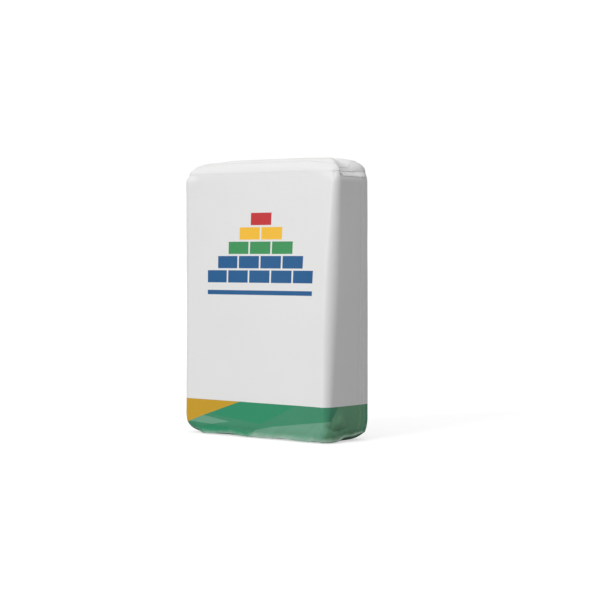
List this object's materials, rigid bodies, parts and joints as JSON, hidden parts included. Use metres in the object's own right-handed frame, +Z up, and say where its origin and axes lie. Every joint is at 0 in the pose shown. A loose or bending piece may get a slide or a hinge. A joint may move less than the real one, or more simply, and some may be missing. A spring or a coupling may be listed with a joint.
{
  "type": "cement bag",
  "caption": "Filled block-bottom valve sack of cement, standing upright on its bottom end, with pasted cover patches and a filling valve.",
  "frame": {"origin": "under the middle of the standing sack, on the surface that it stands on", "axes": "+Z up along the sack's height, -Y out of the printed front, +X towards the end with the filling valve"},
  "size_m": [0.4378, 0.1578, 0.622],
  "materials": {
    "sack_sheet": "satin coated white, printed band round the foot",
    "top_patch_sheet": "matte white",
    "bottom_patch_sheet": "matte white",
    "sleeve_sheet": "uncoated off-white"
  },
  "bodies": {
    "root": {"sack": "sack_sheet", "top_cover_patch": "top_patch_sheet", "bottom_cover_patch": "bottom_patch_sheet", "valve_sleeve": "sleeve_sheet"}
  },
  "joints": []
}
